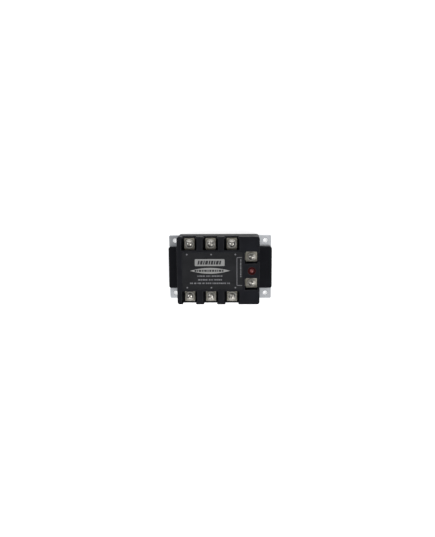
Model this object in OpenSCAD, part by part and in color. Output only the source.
// Three-phase solid state relay, panel-mount block style.
// X runs along the length, from the blank end to the control terminals. Y points to the line terminals.
// Z points up from the mounting face, and the origin is the centre of that face.

/* [Overall] */
// Length over the two end flanges of the housing
overall_l = 105; // [104.5:0.5:110]
// Height from the mounting face to the top of the housing
overall_h = 28; // [28:0.5:32]

/* [Housing tower] */
// Length of the full-height block that carries the terminals
tower_l = 81.5; // [81:0.5:83]
// Width of the full-height block, which is the overall width
tower_w = 67.4; // [67:0.2:70]
// Shift of the full-height block along X from the centre of the base plate
tower_shift = -1.4; // [-2:0.1:-1]
// Radius of the vertical corners of the block
tower_corner_r = 2.4; // [1.5:0.1:3]
// Radius of the rounded top edge of the block
top_edge_r = 1; // [0.5:0.1:1.4]
// Thickness of the outer walls
wall_t = 2; // [1.8:0.1:2.2]

/* [End flanges] */
// Width of the low flanges at the two ends of the housing
flange_w = 42.4; // [40:0.2:44]
// Height of the low flanges above the mounting face
flange_h = 6; // [5:0.2:8]
// Corner radius of the low flanges
flange_corner_r = 2; // [1:0.1:3]
// Thickness of the skirt at the end of each flange
flange_skirt_t = 1.6; // [1.4:0.1:1.8]

/* [Base plate] */
// Length of the aluminium base plate
plate_l = 104; // [103.6:0.1:104]
// Width of the aluminium base plate
plate_w = 65; // [64.5:0.1:65]
// Thickness of the aluminium base plate
plate_t = 3; // [2.8:0.1:3.1]
// Distance between the mounting holes along X
hole_pitch_x = 92; // [91:0.5:93]
// Distance between the mounting holes along Y
hole_pitch_y = 54.4; // [54:0.2:55]
// Diameter of the mounting holes, for M4 screws
mount_hole_d = 4.6; // [4.3:0.1:4.8]

/* [Output terminals] */
// Centre of the first terminal of each row along X
first_terminal_x = -30; // [-30.2:0.1:-29.8]
// Distance between neighbouring terminals of a row
terminal_pitch = 21; // [20.8:0.1:21.2]
// Distance of each terminal row from the centre line
row_y = 26.2; // [26:0.1:26.4]
// Width of a terminal bay between its barriers
bay_w = 15.4; // [15:0.1:16]
// Width of the wire notch in the outer wall of a bay
notch_w = 12.7; // [11.8:0.1:13.2]
// Height of the bay floor above the mounting face
floor_z = 18.4; // [18:0.1:18.4]

/* [Control terminals] */
// Centre of the two control terminals along X
input_x = 31.3; // [31:0.1:31.5]
// Distance of each control terminal from the centre line
input_y = 13.2; // [13.1:0.1:13.4]
// Width of a control terminal bay
input_bay_w = 12.2; // [12:0.1:12.4]
// Width of the wire notch in the outer wall of a control bay
input_notch_w = 9.4; // [9:0.1:10]

/* [Terminal hardware] */
// Diameter of the output screw heads
output_head_d = 9.2; // [8.8:0.1:9.4]
// Diameter of the control screw heads
input_head_d = 8; // [7.4:0.1:8.4]
// Height of a terminal screw head
head_h = 2.6; // [2.4:0.1:2.6]
// Thickness of a square wire clamp
clamp_t = 1; // [0.8:0.1:1]
// Thickness of a spring washer
washer_t = 0.8; // [0.7:0.1:0.8]
// Thickness of the busbars and control tabs
busbar_t = 1; // [0.8:0.1:1]

/* [Hidden] */
$fn = 48;

// Small amount by which a cut runs past the face it opens
cut = 0.5;
// Gap left between pieces that are assembled side by side
fit_gap = 0.1;
// Running clearance round a pin or in a sleeve
slip_gap = 0.05;
line_side = 1;
load_side = -1;
phases = [0 : 2];
sides = [line_side, load_side];

// Outer faces of the tower
tower_x0 = tower_shift - tower_l / 2;
tower_x1 = tower_shift + tower_l / 2;
skirt_z = 0.4;
gasket_t = 0.3;
plate_corner_r = 1;
gasket_inset = 0.4;
seat_z = plate_t + gasket_t;

// Control end: the wall that separates the control bays from the electronics
input_wall_x = 23;
input_wall_t = 1.8;
input_bay_x0 = input_wall_x + input_wall_t;
input_bay_x1 = tower_x1 - wall_t;

// Output bays
bay_y0 = 20.2;
bay_wall_t = 1.6;
bay_y1 = tower_w / 2 - bay_wall_t;
sill_h = 0.8;
notch_z = floor_z + sill_h;
notch_flare = 1.2;

// Cavities inside the housing
cavity_y = tower_w / 2 - wall_t;
low_ceiling_z = floor_z - wall_t;
deck_t = 2.2;
high_ceiling_z = overall_h - deck_t;
electronics_y = 18.4;

// Terminal bosses under the bay floors
boss_w = 11.6;
boss_z = 11;
nut_w = 8;
nut_h = 4;
nut_z = floor_z - nut_h;
input_nut_w = 7;
tip_hole_z = boss_z + 0.9;
tip_clearance = 0.4;

// Printed label in the top face
label_x0 = -36.8;
label_x1 = 22.6;
label_w = 36.6;
label_t = 0.5;
label_recess = 0.7;
label_corner_r = 1;

// Indicator between the control terminals
led_x = 31.6;
led_r = 2.5;
led_top_z = overall_h - 0.1;
led_bore_r = 3.2;
led_rim_r = 3.9;
led_rim_t = 0.8;
holder_l = 4;
led_recess_r = 4.1;
led_recess = 1;
led_body_h = 6.1;
led_foot_r = 2.9;
led_foot_h = 1;
lead_x = 1.27;
lead_w = 0.5;

// Terminal stack, from the bay floor up
busbar_top_z = floor_z + busbar_t;
clamp_top_z = busbar_top_z + clamp_t;
washer_top_z = clamp_top_z + washer_t;
head_gap = 0.03;
head_z = washer_top_z + head_gap;
output_shank_r = 2.45;
input_shank_r = 1.95;
output_slot_w = 1.1;
input_slot_w = 1;
slot_depth = 1.1;
crown_ratio = 0.37;
flange_t = 0.95;
rim_chamfer = 0.25;
cross_depth = 1.6;
cross_reach = 1.5;
washer_inset = 0.15;
split_angle = 215;
split_w = 0.6;
clamp_gap = 0.15;
clamp_corner_r = 0.8;
shank_l = 8.6;
tip_l = 0.5;
output_clamp_size = [10.2, 10.4];
input_clamp_size = [11, 10];
output_clamp_shift = 0.3;
// Angle at which each screw happens to stand
line_turns = [30, 5, 45];
load_turns = [50, 80, 20];
input_turns = [10, 60];

// Busbars
output_tab_w = 9.6;
input_tab_w = 7;
input_leg_x = 20.6;
input_leg_w = 4;
input_foot_l = 1.4;
input_tab_end_x = 36.8;
busbar_leg_w = 8;
busbar_end_y = 31.8;
busbar_leg_y = 16.8;
busbar_foot_y = 12.2;
bend_r = 0.6;

// Power stage on the base plate
tile_l = 18.6;
tile_w = 38;
copper_t = 0.3;
ceramic_t = 0.65;
copper_margin = 0.8;
pad_split = 2;
pad_z = plate_t + copper_t + ceramic_t;
die_z = pad_z + copper_t;
die_w = 7;
die_t = 0.4;
die_x = 4.3;
die_y = 5.6;
clip_w = 4.4;
clip_t = 0.4;
pin_w = 0.7;
pin_x = [-2.9, 2.9];
pin_y = 2.4;
pin_rise = 0.8;

// Control board
board_z = 12;
board_t = 1.6;
board_top_z = board_z + board_t;
board_x0 = -39;
board_x1 = 22.2;
board_w = 32.6;
tongue_x1 = 36;
tongue_w = 12.4;
bridge_x = 26.2;
post_x = [first_terminal_x + terminal_pitch / 2, first_terminal_x + 1.5 * terminal_pitch];
post_y = 13.6;
post_r = 2.2;
post_pilot_r = 0.9;
board_hole_gap = 0.3;
board_head_r = 2;
board_head_h = 1.4;
board_screw_l = 7;
board_cross_l = 2.2;
board_cross_w = 0.5;
board_cross_depth = 0.8;
package_lift = 0.4;
wire_r = 0.35;

// Case screws, driven up through the base plate
case_screw_x = [tower_x0 + 4, tower_x1 - 4];
case_screw_y = 29.2;
case_screw_r = 1.5;
case_screw_head_r = 2.9;
countersink_r = 3.2;
countersink_h = 1.9;
case_head_z = 0.15;
case_head_h = 1.65;
case_cross_l = 3;
case_cross_w = 0.7;
case_cross_depth = 1;
case_screw_top_z = 10.4;
case_boss_r = 3;

gel_top_z = 8.6;

// Colours
black_plastic = [0.09, 0.09, 0.10];
bare_aluminium = [0.72, 0.73, 0.74];
nickel = [0.66, 0.63, 0.56];
copper_tone = [0.75, 0.45, 0.30];
zinc = [0.70, 0.70, 0.70];

function terminal_x(i) = first_terminal_x + i * terminal_pitch;

// Repeats its children on the line side or mirrors them to the load side
module on_side(side) {
    if (side < 0) mirror([0, 1, 0]) children();
    else children();
}

// Rectangle with round corners, centred on the origin
module round_rect(size, r) {
    square([size[0] - 2 * r, size[1]], center = true);
    square([size[0], size[1] - 2 * r], center = true);
    for (x = [-1, 1], y = [-1, 1])
        translate([x * (size[0] / 2 - r), y * (size[1] / 2 - r)]) circle(r);
}

// Box given by its lowest and highest corners
module box_between(low, high) {
    translate(low) cube(high - low);
}

// Block on the XY plane with round vertical corners and a quarter-round top edge
module soft_top_block(size, corner_r, edge_r) {
    shoulder_z = size[2] - edge_r;
    inner = [size[0] - 2 * corner_r, size[1] - 2 * corner_r];
    linear_extrude(shoulder_z) round_rect([size[0], size[1]], corner_r);
    translate([0, 0, shoulder_z - cut])
        linear_extrude(edge_r + cut)
            round_rect([size[0] - 2 * edge_r, size[1] - 2 * edge_r], corner_r - edge_r);
    for (x = [-1, 1], y = [-1, 1])
        translate([x * inner[0] / 2, y * inner[1] / 2, shoulder_z]) rotate_extrude() intersection() {
            union() {
                square([corner_r - edge_r, edge_r]);
                translate([corner_r - edge_r, 0]) circle(edge_r);
            }
            square([corner_r, edge_r]);
        }
    for (x = [-1, 1])
        translate([x * (size[0] / 2 - edge_r), 0, shoulder_z])
            rotate([90, 0, 0]) cylinder(h = inner[1], r = edge_r, center = true);
    for (y = [-1, 1])
        translate([0, y * (size[1] / 2 - edge_r), shoulder_z])
            rotate([0, 90, 0]) cylinder(h = inner[0], r = edge_r, center = true);
}

// Plan of a notch that opens along +Y at y = 0, with flared mouth corners
module notch_plan(width, depth, flare) {
    translate([-width / 2, -depth]) square([width, depth + cut]);
    for (side = [-1, 1])
        translate([side * width / 2, -flare]) difference() {
            translate([side > 0 ? -cut : -flare, 0]) square([flare + cut, flare + cut]);
            translate([side * flare, 0]) circle(flare);
        }
}

// ---- Housing ----

module housing_outside() {
    translate([tower_shift, 0, skirt_z])
        soft_top_block([tower_l, tower_w, overall_h - skirt_z], tower_corner_r, top_edge_r);
    translate([0, 0, skirt_z])
        linear_extrude(flange_h - skirt_z) round_rect([overall_l, flange_w], flange_corner_r);
}

// Space above the base plate, plus the seat that the plate and its gasket fill
module housing_inside() {
    seat_l = overall_l - 2 * flange_skirt_t;
    seat_w = plate_w + 2 * fit_gap;
    box_between([-seat_l / 2, -seat_w / 2, -cut], [seat_l / 2, seat_w / 2, seat_z]);
    box_between([tower_x0 + wall_t, -cavity_y, seat_z - cut], [tower_x1 - wall_t, cavity_y, low_ceiling_z]);
    box_between([tower_x0 + wall_t, -electronics_y, low_ceiling_z - cut],
                [input_wall_x, electronics_y, high_ceiling_z]);
    for (side = sides) on_side(side)
        box_between([input_wall_x + input_wall_t, input_y + input_bay_w / 2 + wall_t, low_ceiling_z - cut],
                    [tower_x1 - wall_t, cavity_y, high_ceiling_z]);
}

module terminal_boss(x, y) {
    translate([x - boss_w / 2, y - boss_w / 2, boss_z])
        cube([boss_w, boss_w, low_ceiling_z + cut - boss_z]);
}

module housing_bosses() {
    for (side = sides) on_side(side) {
        for (i = phases) terminal_boss(terminal_x(i), row_y);
        terminal_boss(input_x, input_y);
        for (x = post_x)
            translate([x, post_y, board_top_z]) cylinder(h = high_ceiling_z + cut - board_top_z, r = post_r);
        for (x = case_screw_x)
            translate([x, case_screw_y, seat_z]) cylinder(h = low_ceiling_z + cut - seat_z, r = case_boss_r);
    }
}

// Bay, wire notch, nut pocket and screw tip hole of one output terminal
module output_bay_cut(i) {
    x = terminal_x(i);
    box_between([x - bay_w / 2, bay_y0, floor_z], [x + bay_w / 2, bay_y1, overall_h + cut]);
    translate([x, tower_w / 2, notch_z])
        linear_extrude(overall_h + cut - notch_z) notch_plan(notch_w, bay_wall_t + cut, notch_flare);
    pocket = nut_w + 2 * fit_gap;
    translate([x - pocket / 2, row_y - pocket / 2, nut_z]) cube([pocket, pocket, nut_h + cut]);
    translate([x, row_y, tip_hole_z])
        cylinder(h = nut_z - tip_hole_z + cut, r = output_shank_r + tip_clearance);
    slot_w = output_tab_w + 2 * fit_gap;
    box_between([x - slot_w / 2, electronics_y - cut, floor_z],
                [x + slot_w / 2, bay_y0 + cut, busbar_top_z + fit_gap]);
}

// Bay, wire notch, nut pocket and screw tip hole of one control terminal
module input_bay_cut() {
    box_between([input_bay_x0, input_y - input_bay_w / 2, floor_z],
                [input_bay_x1, input_y + input_bay_w / 2, overall_h + cut]);
    translate([tower_x1, input_y, notch_z]) rotate([0, 0, -90])
        linear_extrude(overall_h + cut - notch_z) notch_plan(input_notch_w, wall_t + cut, notch_flare);
    pocket = input_nut_w + 2 * fit_gap;
    translate([input_x - pocket / 2, input_y - pocket / 2, nut_z]) cube([pocket, pocket, nut_h + cut]);
    translate([input_x, input_y, tip_hole_z])
        cylinder(h = nut_z - tip_hole_z + cut, r = input_shank_r + tip_clearance);
    slot_w = input_tab_w + 2 * fit_gap;
    box_between([input_wall_x - cut, input_y - slot_w / 2, floor_z],
                [input_bay_x0 + cut, input_y + slot_w / 2, busbar_top_z + fit_gap]);
}

module housing() {
    color(black_plastic) difference() {
        union() {
            difference() {
                housing_outside();
                housing_inside();
            }
            housing_bosses();
        }
        for (side = sides) on_side(side) {
            for (i = phases) output_bay_cut(i);
            input_bay_cut();
            for (x = post_x)
                translate([x, post_y, board_top_z - cut]) cylinder(h = board_screw_l, r = post_pilot_r);
            for (x = case_screw_x)
                translate([x, case_screw_y, seat_z - cut])
                    cylinder(h = case_screw_top_z - seat_z + 2 * cut, r = case_screw_r);
        }
        translate([(label_x0 + label_x1) / 2, 0, overall_h - label_recess])
            linear_extrude(label_recess + cut) round_rect([label_x1 - label_x0, label_w], label_corner_r);
        translate([led_x, 0, low_ceiling_z - cut]) cylinder(h = overall_h, r = led_bore_r);
        translate([led_x, 0, overall_h - led_recess]) cylinder(h = led_recess + cut, r = led_recess_r);
    }
}

// ---- Base plate, gasket, label and case screws ----

module baseplate() {
    recess_x = overall_l / 2 - flange_skirt_t - fit_gap;
    recess_w = flange_w + 2 * fit_gap;
    color(bare_aluminium) difference() {
        linear_extrude(plate_t) round_rect([plate_l, plate_w], plate_corner_r);
        for (x = [-1, 1])
            translate([x * (recess_x + wall_t), 0, plate_t / 2])
                cube([2 * wall_t, recess_w, plate_t + 2 * cut], center = true);
        for (x = [-1, 1], y = [-1, 1])
            translate([x * hole_pitch_x / 2, y * hole_pitch_y / 2, -cut])
                cylinder(h = plate_t + 2 * cut, d = mount_hole_d);
        for (x = case_screw_x, y = [-1, 1])
            translate([x, y * case_screw_y, 0]) {
                translate([0, 0, -cut]) cylinder(h = plate_t + 2 * cut, r = case_screw_r + clamp_gap);
                translate([0, 0, -head_gap])
                    cylinder(h = countersink_h, r1 = countersink_r, r2 = case_screw_r + clamp_gap);
            }
    }
}

module base_gasket() {
    tower_size = [tower_l - 2 * gasket_inset, plate_w - 2 * gasket_inset];
    flange_size = [overall_l - 2 * flange_skirt_t - 2 * gasket_inset, flange_w - 2 * gasket_inset];
    color([0.45, 0.45, 0.47]) translate([0, 0, plate_t]) linear_extrude(gasket_t) difference() {
        union() {
            translate([tower_shift, 0]) square(tower_size, center = true);
            square(flange_size, center = true);
        }
        translate([tower_shift, 0]) square([tower_l - 2 * wall_t, 2 * cavity_y], center = true);
    }
}

module label_plate() {
    color([0.13, 0.13, 0.15])
        translate([(label_x0 + label_x1) / 2, 0, overall_h - label_recess])
            linear_extrude(label_t)
                round_rect([label_x1 - label_x0 - 2 * fit_gap, label_w - 2 * fit_gap],
                           label_corner_r - fit_gap);
}

// Cross recess of a screw head, cut down from z = 0
module cross_recess(length, width, depth) {
    for (a = [0, 90])
        rotate([0, 0, a]) translate([-length / 2, -width / 2, -depth]) cube([length, width, depth + cut]);
}

module case_screws() {
    color(zinc) for (x = case_screw_x, y = [-1, 1])
        translate([x, y * case_screw_y, 0]) difference() {
            union() {
                translate([0, 0, case_head_z])
                    cylinder(h = case_head_h, r1 = case_screw_head_r, r2 = case_screw_r - slip_gap);
                translate([0, 0, case_head_h])
                    cylinder(h = case_screw_top_z - case_head_h, r = case_screw_r - slip_gap);
            }
            translate([0, 0, case_head_z]) mirror([0, 0, 1])
                cross_recess(case_cross_l, case_cross_w, case_cross_depth);
        }
}

// ---- Indicator ----

module indicator_led() {
    dome_z = led_top_z - led_r;
    foot_z = dome_z - led_body_h;
    color([0.75, 0.12, 0.12]) translate([led_x, 0, 0]) {
        translate([0, 0, dome_z]) intersection() {
            sphere(led_r);
            translate([-led_r, -led_r, -0.01]) cube(2 * led_r);
        }
        translate([0, 0, foot_z]) cylinder(h = dome_z - foot_z, r = led_r);
        translate([0, 0, foot_z]) cylinder(h = led_foot_h, r = led_foot_r);
        for (x = [-1, 1])
            translate([x * lead_x - lead_w / 2, -lead_w / 2, board_z - led_foot_h])
                cube([lead_w, lead_w, foot_z + led_foot_h + head_gap - board_z]);
    }
}

module led_holder() {
    rim_z = overall_h - led_recess;
    color([0.20, 0.05, 0.06]) translate([led_x, 0, 0]) rotate_extrude() {
        translate([led_r + slip_gap, rim_z - holder_l])
            square([led_bore_r - led_r - 2 * slip_gap, holder_l + led_rim_t]);
        translate([led_r + slip_gap, rim_z]) square([led_rim_r - led_r - slip_gap, led_rim_t]);
    }
}

// ---- Terminal hardware ----

// Round head on a washer face, slotted and cross-recessed, with a plain shank below z = 0
module terminal_screw(head_d, shank_r, slot_w) {
    crown_r = head_d * crown_ratio;
    crown_h = head_h - flange_t;
    dome_r = (crown_r * crown_r + crown_h * crown_h) / (2 * crown_h);
    color(nickel) difference() {
        union() {
            rotate_extrude() intersection() {
                square([crown_r, head_h]);
                translate([0, head_h - dome_r]) circle(dome_r);
            }
            cylinder(h = flange_t - rim_chamfer, d = head_d);
            translate([0, 0, flange_t - rim_chamfer])
                cylinder(h = rim_chamfer, r1 = head_d / 2, r2 = head_d / 2 - rim_chamfer);
            translate([0, 0, -shank_l]) cylinder(h = shank_l + flange_t / 2, r = shank_r);
            translate([0, 0, -shank_l - tip_l])
                cylinder(h = tip_l + head_gap, r1 = shank_r - tip_l, r2 = shank_r);
        }
        translate([0, 0, head_h]) cross_recess(crown_r * cross_reach, slot_w, cross_depth);
        translate([-crown_r - cut, -slot_w / 2, head_h - slot_depth])
            cube([2 * (crown_r + cut), slot_w, head_h]);
    }
}

// Split spring washer
module spring_washer(outer_r, inner_r) {
    color(zinc) difference() {
        cylinder(h = washer_t, r = outer_r);
        translate([0, 0, -cut]) cylinder(h = washer_t + 2 * cut, r = inner_r);
        rotate([0, 0, split_angle]) translate([0, -split_w / 2, -cut])
            cube([outer_r + cut, split_w, washer_t + 2 * cut]);
    }
}

// Square clamp plate with round corners and a clearance hole for the screw
module wire_clamp(size, bore_r, shift) {
    color(nickel) difference() {
        translate([0, shift, 0]) linear_extrude(clamp_t) round_rect(size, clamp_corner_r);
        translate([0, 0, -cut]) cylinder(h = clamp_t + 2 * cut, r = bore_r);
    }
}

module at_output(side, i, z) {
    on_side(side) translate([terminal_x(i), row_y, z]) children();
}

module at_input(side, z) {
    on_side(side) translate([input_x, input_y, z]) children();
}

module output_screw(side, i, turn) {
    at_output(side, i, head_z) rotate([0, 0, turn])
        terminal_screw(output_head_d, output_shank_r, output_slot_w);
}

module output_washer(side, i) {
    at_output(side, i, clamp_top_z)
        spring_washer(output_head_d / 2 - washer_inset, output_shank_r + clamp_gap);
}

module output_clamp(side, i) {
    at_output(side, i, busbar_top_z)
        wire_clamp(output_clamp_size, output_shank_r + clamp_gap, output_clamp_shift);
}

module input_screw(side, turn) {
    at_input(side, head_z) rotate([0, 0, turn]) terminal_screw(input_head_d, input_shank_r, input_slot_w);
}

module input_washer(side) {
    at_input(side, clamp_top_z) spring_washer(input_head_d / 2 - washer_inset, input_shank_r + clamp_gap);
}

module input_clamp(side) {
    at_input(side, busbar_top_z) wire_clamp(input_clamp_size, input_shank_r + clamp_gap, 0);
}

module square_nut(x, y, width, bore_r) {
    translate([x, y, nut_z]) difference() {
        translate([-width / 2, -width / 2, 0]) cube([width, width, nut_h]);
        translate([0, 0, -cut]) cylinder(h = nut_h + 2 * cut, r = bore_r);
    }
}

module output_nuts() {
    color(zinc) for (side = sides) on_side(side)
        for (i = phases) square_nut(terminal_x(i), row_y, nut_w, output_shank_r + slip_gap);
}

module input_nuts() {
    color(zinc) for (side = sides) on_side(side)
        square_nut(input_x, input_y, input_nut_w, input_shank_r + slip_gap);
}

// ---- Busbars and control tabs ----

// Side view of a strip that leaves the terminal, turns down at the leg and ends in a foot
module strip_profile(end, leg, foot, top_z, foot_z) {
    outer_r = busbar_t + bend_r;
    translate([leg + outer_r, top_z - busbar_t]) square([end - leg - outer_r, busbar_t]);
    translate([leg, foot_z + outer_r]) square([busbar_t, top_z - foot_z - 2 * outer_r]);
    translate([leg + outer_r, top_z - outer_r]) intersection() {
        difference() {
            circle(outer_r);
            circle(bend_r);
        }
        translate([-outer_r, 0]) square(outer_r);
    }
    translate([foot, foot_z]) square([leg + busbar_t - outer_r - foot, busbar_t]);
    translate([leg + busbar_t - outer_r, foot_z + outer_r]) intersection() {
        difference() {
            circle(outer_r);
            circle(bend_r);
        }
        translate([0, -outer_r]) square(outer_r);
    }
}

module busbar(side, i) {
    outer_r = busbar_t + bend_r;
    color(copper_tone) on_side(side) translate([terminal_x(i), 0, 0]) difference() {
        union() {
            rotate([90, 0, 90]) translate([0, 0, -busbar_leg_w / 2]) linear_extrude(busbar_leg_w)
                strip_profile(busbar_end_y, busbar_leg_y, busbar_foot_y, busbar_top_z, die_z);
            translate([-output_tab_w / 2, busbar_leg_y + outer_r, floor_z])
                cube([output_tab_w, busbar_end_y - busbar_leg_y - outer_r, busbar_t]);
        }
        translate([0, row_y, floor_z - cut]) cylinder(h = busbar_t + 2 * cut, r = output_shank_r + clamp_gap);
    }
}

module input_tab(side) {
    color(copper_tone) on_side(side) translate([0, input_y, 0]) difference() {
        union() {
            rotate([90, 0, 0]) translate([0, 0, -input_leg_w / 2]) linear_extrude(input_leg_w)
                strip_profile(input_tab_end_x, input_leg_x, input_leg_x - input_foot_l,
                              busbar_top_z, board_top_z);
            translate([input_leg_x + busbar_t + bend_r, -input_tab_w / 2, floor_z])
                cube([input_tab_end_x - input_leg_x - busbar_t - bend_r, input_tab_w, busbar_t]);
        }
        translate([input_x, 0, floor_z - cut])
            cylinder(h = busbar_t + 2 * cut, r = input_shank_r + clamp_gap);
    }
}

// ---- Power stage ----

module ceramic(i) {
    color([0.93, 0.93, 0.90]) translate([terminal_x(i) - tile_l / 2, -tile_w / 2, plate_t + copper_t])
        cube([tile_l, tile_w, ceramic_t]);
}

module substrate_copper() {
    pad_l = tile_l - 2 * copper_margin;
    pad_end_y = tile_w / 2 - copper_margin;
    color(copper_tone) for (i = phases) translate([terminal_x(i), 0, 0]) {
        translate([-pad_l / 2, -pad_end_y, plate_t]) cube([pad_l, 2 * pad_end_y, copper_t]);
        for (side = sides) on_side(side)
            translate([-pad_l / 2, pad_split / 2, pad_z]) cube([pad_l, pad_end_y - pad_split / 2, copper_t]);
    }
}

// Repeats its children at the two dies of every phase, each turned to face the other copper pad
module at_dies() {
    for (i = phases, half = [0, 1])
        translate([terminal_x(i), 0, 0]) rotate([0, 0, half * 180]) translate([die_x, die_y, 0]) children();
}

module thyristor_dies() {
    color([0.35, 0.37, 0.40]) at_dies()
        translate([-die_w / 2, -die_w / 2, die_z]) cube([die_w, die_w, die_t]);
}

module die_clips() {
    die_top_z = die_z + die_t;
    arch_h = 0.8;
    pad_l = 4;
    foot_l = 2;
    span = 6;
    reach = die_y + span;
    color(copper_tone) at_dies() translate([-clip_w / 2, 0, 0]) rotate([90, 0, 90]) linear_extrude(clip_w) {
        translate([-pad_l / 2, die_top_z]) square([pad_l, clip_t]);
        translate([-pad_l / 2 - clip_t, die_top_z]) square([clip_t, arch_h + clip_t]);
        translate([foot_l - reach, die_top_z + arch_h]) square([reach - foot_l - pad_l / 2, clip_t]);
        translate([foot_l - reach, die_z]) square([clip_t, die_t + arch_h]);
        translate([-reach, die_z]) square([foot_l, clip_t]);
    }
}

// Gate and auxiliary cathode pins from each die up through the control board
module gate_pins() {
    color(nickel) at_dies() for (x = pin_x)
        translate([x - pin_w / 2, pin_y - pin_w / 2, die_z + die_t])
            cube([pin_w, pin_w, board_top_z + pin_rise - die_z - die_t]);
}

// ---- Control board ----

module control_board() {
    color([0.05, 0.35, 0.18]) difference() {
        union() {
            box_between([board_x0, -board_w / 2, board_z], [board_x1, board_w / 2, board_top_z]);
            box_between([board_x1 - cut, -tongue_w / 2, board_z], [tongue_x1, tongue_w / 2, board_top_z]);
        }
        at_dies() for (x = pin_x)
            translate([x, pin_y, board_z - cut]) cylinder(h = board_t + 2 * cut, r = pin_w);
        for (x = [-1, 1])
            translate([led_x + x * lead_x, 0, board_z - cut]) cylinder(h = board_t + 2 * cut, r = lead_w);
        for (x = post_x, y = [-1, 1])
            translate([x, y * post_y, board_z - cut])
                cylinder(h = board_t + 2 * cut, r = post_pilot_r + board_hole_gap);
    }
}

module board_screws() {
    color(zinc) for (x = post_x, y = [-1, 1]) translate([x, y * post_y, board_z]) difference() {
        union() {
            translate([0, 0, -board_head_h]) cylinder(h = board_head_h, r = board_head_r);
            translate([0, 0, -cut]) cylinder(h = board_screw_l, r = post_pilot_r - head_gap);
        }
        translate([0, 0, -board_head_h]) mirror([0, 0, 1])
            cross_recess(board_cross_l, board_cross_w, board_cross_depth);
    }
}

// Places a board component for each phase, at an offset from the middle of the phase
module per_phase(x, y) {
    for (i = phases) translate([terminal_x(i) + x, y, board_top_z]) children();
}

// Block centred on the Z axis that starts at height z
module block(size, z = 0) {
    translate([-size[0] / 2, -size[1] / 2, z]) cube(size);
}

module optocouplers() {
    leg_pitch = 2.54;
    leg_y = 2.6;
    color([0.93, 0.93, 0.90]) per_phase(0, 0) {
        block([8.8, 4.8, 3.4], package_lift);
        for (x = [-leg_pitch, 0, leg_pitch], y = [-leg_y, leg_y]) translate([x, y, 0]) block([0.5, 0.5, 1.8]);
    }
}

module snubber_capacitors() {
    row = 12.4;
    leg_x = 5;
    color([0.85, 0.62, 0.12]) per_phase(0, row) {
        block([12.8, 4.8, 9], package_lift);
        for (x = [-leg_x, leg_x]) translate([x, 0, 0]) block([0.6, 0.6, package_lift + 0.1]);
    }
}

module snubber_resistors() {
    row = -12.6;
    axis_z = 2.6;
    body_l = 9.2;
    body_r = 2;
    leg_x = 6.05;
    color([0.72, 0.60, 0.42]) per_phase(0, row) {
        translate([-body_l / 2, 0, axis_z]) rotate([0, 90, 0]) cylinder(h = body_l, r = body_r);
        for (x = [-1, 1]) {
            translate([x * (body_l / 2 + leg_x) / 2, 0, axis_z])
                rotate([0, 90, 0]) cylinder(h = leg_x - body_l / 2 + wire_r, r = wire_r, center = true);
            translate([x * leg_x, 0, 0]) cylinder(h = axis_z + wire_r, r = wire_r);
        }
    }
}

module varistors() {
    row = 7;
    disc_r = 4.8;
    disc_t = 3.2;
    lift = 0.8;
    leg_x = 2.5;
    color([0.15, 0.35, 0.65]) per_phase(0, row) {
        translate([0, 0, disc_r + lift]) rotate([90, 0, 0]) cylinder(h = disc_t, r = disc_r, center = true);
        for (x = [-leg_x, leg_x]) translate([x, 0, 0]) cylinder(h = 2.2, r = wire_r);
    }
}

module bridge_rectifier() {
    leg_x = 2.4;
    leg_y = 2.2;
    color([0.10, 0.10, 0.11]) translate([bridge_x, 0, board_top_z]) {
        block([4.4, 6.4, 2.1], 0.2);
        for (x = [-leg_x, leg_x], y = [-leg_y, leg_y]) translate([x, y, 0]) block([0.5, 0.8, 1.2]);
    }
}

module driver_transistors() {
    body_r = 2.3;
    body_h = 4.6;
    flat_y = -1.3;
    lift = 2;
    leg_pitch = 1.27;
    color([0.08, 0.08, 0.09]) per_phase(-7, -6.4) {
        translate([0, 0, lift]) intersection() {
            cylinder(h = body_h, r = body_r);
            translate([-body_r, flat_y, 0]) cube([2 * body_r, 2 * body_r, body_h + cut]);
        }
        for (x = [-leg_pitch, 0, leg_pitch]) translate([x - 0.2, 0, 0]) cube([0.4, 0.4, lift + 0.1]);
    }
}

module chip_resistors() {
    first_x = 3.4;
    spacing = 2.6;
    row = -6.6;
    color([0.12, 0.12, 0.13]) for (n = [0 : 2]) per_phase(first_x + n * spacing, row) block([1.6, 3.2, 0.6]);
}

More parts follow.
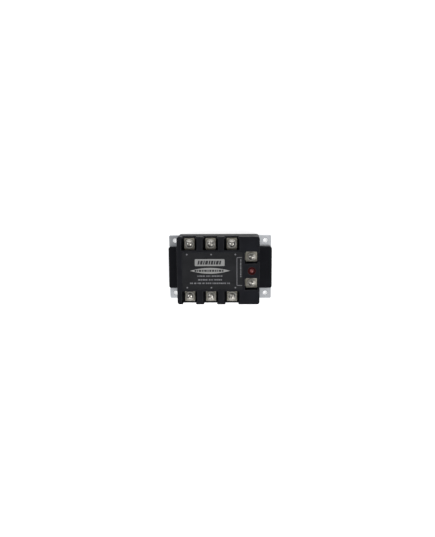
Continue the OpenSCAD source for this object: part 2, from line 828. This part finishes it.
// Soft potting over the power stage, with ways through it for all that rises from the tiles
module potting_gel() {
    clear = 0.15;
    tile_top_z = die_z + 2.2;
    color([0.80, 0.82, 0.85]) difference() {
        box_between([tower_x0 + wall_t + clear, -cavity_y + clear, seat_z + clear],
                    [tower_x1 - wall_t - clear, cavity_y - clear, gel_top_z]);
        for (i = phases)
            translate([terminal_x(i) - tile_l / 2 - clear, -tile_w / 2 - clear, plate_t])
                cube([tile_l + 2 * clear, tile_w + 2 * clear, tile_top_z - plate_t]);
        for (side = sides) on_side(side) {
            for (i = phases)
                translate([terminal_x(i) - busbar_leg_w / 2 - clear, busbar_leg_y - clear, plate_t])
                    cube([busbar_leg_w + 2 * clear, busbar_t + 2 * clear, gel_top_z]);
            for (x = case_screw_x)
                translate([x, case_screw_y, plate_t]) cylinder(h = gel_top_z, r = case_boss_r + clear);
        }
        at_dies() for (x = pin_x)
            translate([x - pin_w / 2 - clear, pin_y - pin_w / 2 - clear, plate_t])
                cube([pin_w + 2 * clear, pin_w + 2 * clear, gel_top_z]);
    }
}

housing();
baseplate();
base_gasket();
label_plate();
case_screws();
indicator_led();
led_holder();
busbar(line_side, 0);  // line_busbar_1
busbar(line_side, 1);  // line_busbar_2
busbar(line_side, 2);  // line_busbar_3
busbar(load_side, 0);  // load_busbar_1
busbar(load_side, 1);  // load_busbar_2
busbar(load_side, 2);  // load_busbar_3
input_tab(line_side);  // input_tab_1
input_tab(load_side);  // input_tab_2
output_nuts();
input_nuts();
ceramic(0);  // ceramic_1
ceramic(1);  // ceramic_2
ceramic(2);  // ceramic_3
substrate_copper();
thyristor_dies();
die_clips();
gate_pins();
control_board();
board_screws();
optocouplers();
snubber_capacitors();
snubber_resistors();
varistors();
bridge_rectifier();
driver_transistors();
chip_resistors();
potting_gel();
output_screw(line_side, 0, line_turns[0]);  // line_screw_1
output_screw(line_side, 1, line_turns[1]);  // line_screw_2
output_screw(line_side, 2, line_turns[2]);  // line_screw_3
output_screw(load_side, 0, load_turns[0]);  // load_screw_1
output_screw(load_side, 1, load_turns[1]);  // load_screw_2
output_screw(load_side, 2, load_turns[2]);  // load_screw_3
output_washer(line_side, 0);  // line_washer_1
output_washer(line_side, 1);  // line_washer_2
output_washer(line_side, 2);  // line_washer_3
output_washer(load_side, 0);  // load_washer_1
output_washer(load_side, 1);  // load_washer_2
output_washer(load_side, 2);  // load_washer_3
output_clamp(line_side, 0);  // line_clamp_1
output_clamp(line_side, 1);  // line_clamp_2
output_clamp(line_side, 2);  // line_clamp_3
output_clamp(load_side, 0);  // load_clamp_1
output_clamp(load_side, 1);  // load_clamp_2
output_clamp(load_side, 2);  // load_clamp_3
input_screw(line_side, input_turns[0]);  // input_screw_1
input_screw(load_side, input_turns[1]);  // input_screw_2
input_washer(line_side);  // input_washer_1
input_washer(load_side);  // input_washer_2
input_clamp(line_side);  // input_clamp_1
input_clamp(load_side);  // input_clamp_2
